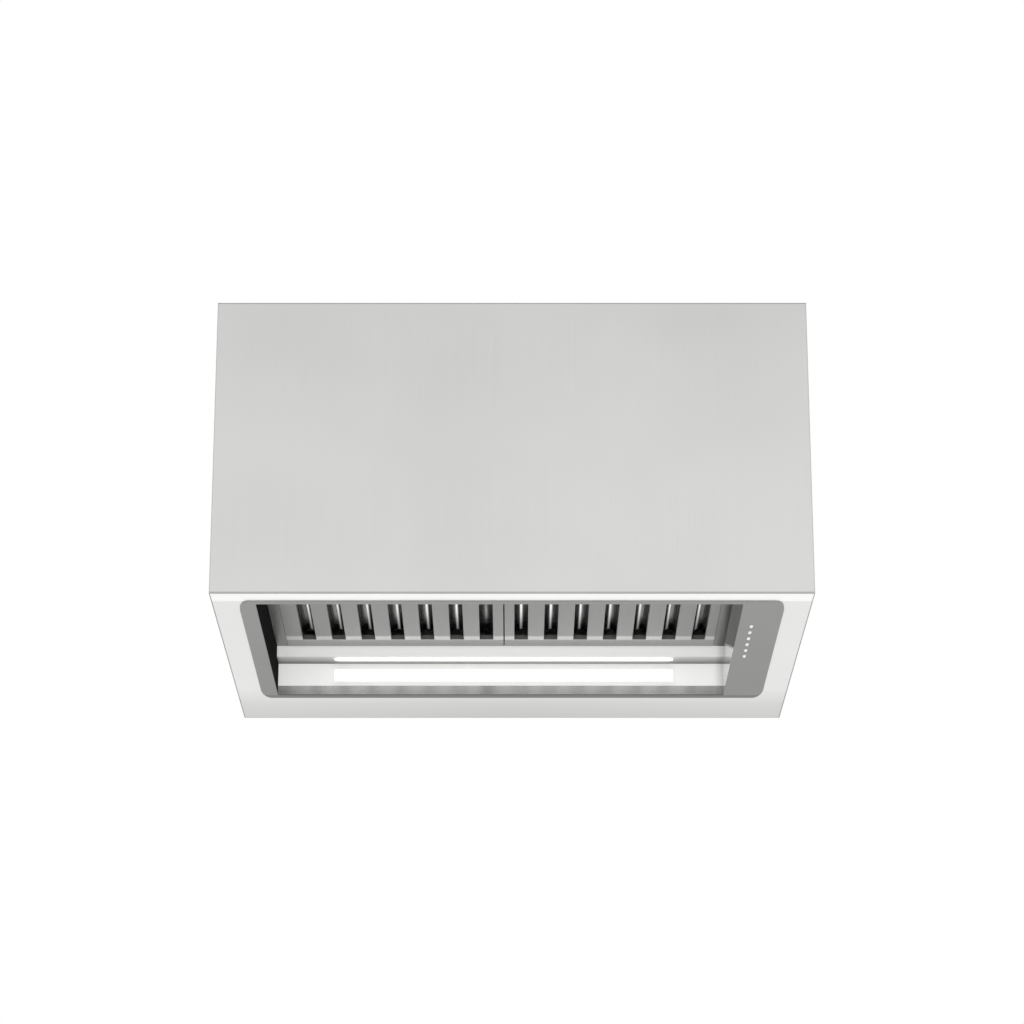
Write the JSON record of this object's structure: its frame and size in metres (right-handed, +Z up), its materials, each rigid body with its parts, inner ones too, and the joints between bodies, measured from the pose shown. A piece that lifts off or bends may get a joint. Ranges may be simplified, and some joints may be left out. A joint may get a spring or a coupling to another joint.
{
  "type": "island range hood",
  "caption": "Box-shaped island range hood with drop-down baffle filters, a rear light, push buttons and a double-inlet blower.",
  "frame": {"origin": "centre of the underside", "axes": "+X to the right seen from the front, +Y from the front to the rear, +Z up"},
  "size_m": [0.914, 0.7, 0.526],
  "materials": {
    "casing_steel": "satin brushed stainless",
    "plate_grey": "matt grey metal",
    "pan_steel": "polished stainless",
    "filter_steel": "bright stainless",
    "galvanised": "galvanised sheet",
    "opal_light": "opal, lit",
    "button_lit": "white, lit",
    "black_plastic": "matt black",
    "circuit_board": "green board",
    "motor_grey": "grey enamel"
  },
  "bodies": {
    "hood": {"bottom_panel": "casing_steel", "cable_gland": "black_plastic", "capacitor": "black_plastic", "capacitor_strap": "galvanised", "casing_front": "galvanised", "casing_left_side": "galvanised", "casing_rear": "galvanised", "casing_right_side": "galvanised", "casing_top": "galvanised", "control_board": "circuit_board", "control_housing": "black_plastic", "damper_pin": "pan_steel", "drawn_pan": "pan_steel", "duct_collar": "galvanised", "face_plate": "plate_grey", "filter_hinge_rod": "pan_steel", "front_panel": "casing_steel", "hanger_bolt_1": "galvanised", "hanger_bolt_2": "galvanised", "hanger_bolt_3": "galvanised", "hanger_bolt_4": "galvanised", "junction_box": "galvanised", "junction_box_lid": "galvanised", "led_board": "circuit_board", "led_channel": "galvanised", "led_driver": "black_plastic", "left_hanger_rail": "galvanised", "left_inlet_ring": "galvanised", "left_side_panel": "casing_steel", "light_lens": "opal_light", "motor": "motor_grey", "motor_bracket": "galvanised", "rear_panel": "casing_steel", "right_hanger_rail": "galvanised", "right_inlet_ring": "galvanised", "right_side_panel": "casing_steel", "scroll_left_side": "galvanised", "scroll_right_side": "galvanised", "scroll_wrap": "galvanised", "top_panel": "casing_steel"},
    "rotor": {"impeller": "galvanised", "motor_shaft": "pan_steel"},
    "front_flap": {"front_damper_flap": "galvanised"},
    "rear_flap": {"rear_damper_flap": "galvanised"},
    "left_filter": {"left_filter_frame": "filter_steel", "left_filter_baffles": "filter_steel"},
    "right_filter": {"right_filter_frame": "filter_steel", "right_filter_baffles": "filter_steel"},
    "left_latch": {"left_filter_latch": "filter_steel"},
    "right_latch": {"right_filter_latch": "filter_steel"},
    "key_1": {"button_1": "button_lit"},
    "key_2": {"button_2": "button_lit"},
    "key_3": {"button_3": "button_lit"},
    "key_4": {"button_4": "button_lit"},
    "key_5": {"button_5": "button_lit"},
    "key_6": {"button_6": "button_lit"}
  },
  "joints": [
    {"name": "rotor_spin", "type": "hinge", "parent": "hood", "child": "rotor", "pos_m": [0, -0.092, 0.262], "axis": [1, 0, 0], "continuous": true},
    {"name": "front_flap_open", "type": "hinge", "parent": "hood", "child": "front_flap", "pos_m": [0, -0.0025, 0.446], "axis": [-1, 0, 0], "range_deg": [0, 80]},
    {"name": "rear_flap_open", "type": "hinge", "parent": "hood", "child": "rear_flap", "pos_m": [0, 0.0025, 0.446], "axis": [1, 0, 0], "range_deg": [0, 80]},
    {"name": "left_filter_drop", "type": "hinge", "parent": "hood", "child": "left_filter", "pos_m": [-0.192, 0.154, 0.078], "axis": [1, 0, 0], "range_deg": [0, 75]},
    {"name": "right_filter_drop", "type": "hinge", "parent": "hood", "child": "right_filter", "pos_m": [0.16, 0.154, 0.078], "axis": [1, 0, 0], "range_deg": [0, 75]},
    {"name": "left_latch_pull", "type": "slide", "parent": "left_filter", "child": "left_latch", "axis": [0, 1, 0], "range_m": [0, 0.01], "stiffness_N_per_m": 300, "springref_m": -0.004},
    {"name": "right_latch_pull", "type": "slide", "parent": "right_filter", "child": "right_latch", "axis": [0, 1, 0], "range_m": [0, 0.01], "stiffness_N_per_m": 300, "springref_m": -0.004},
    {"name": "button_1_press", "type": "slide", "parent": "hood", "child": "key_1", "axis": [0, 0, 1], "range_m": [0, 0.001], "stiffness_N_per_m": 600, "springref_m": -0.001},
    {"name": "button_2_press", "type": "slide", "parent": "hood", "child": "key_2", "axis": [0, 0, 1], "range_m": [0, 0.001], "stiffness_N_per_m": 600, "springref_m": -0.001},
    {"name": "button_3_press", "type": "slide", "parent": "hood", "child": "key_3", "axis": [0, 0, 1], "range_m": [0, 0.001], "stiffness_N_per_m": 600, "springref_m": -0.001},
    {"name": "button_4_press", "type": "slide", "parent": "hood", "child": "key_4", "axis": [0, 0, 1], "range_m": [0, 0.001], "stiffness_N_per_m": 600, "springref_m": -0.001},
    {"name": "button_5_press", "type": "slide", "parent": "hood", "child": "key_5", "axis": [0, 0, 1], "range_m": [0, 0.001], "stiffness_N_per_m": 600, "springref_m": -0.001},
    {"name": "button_6_press", "type": "slide", "parent": "hood", "child": "key_6", "axis": [0, 0, 1], "range_m": [0, 0.001], "stiffness_N_per_m": 600, "springref_m": -0.001}
  ]
}
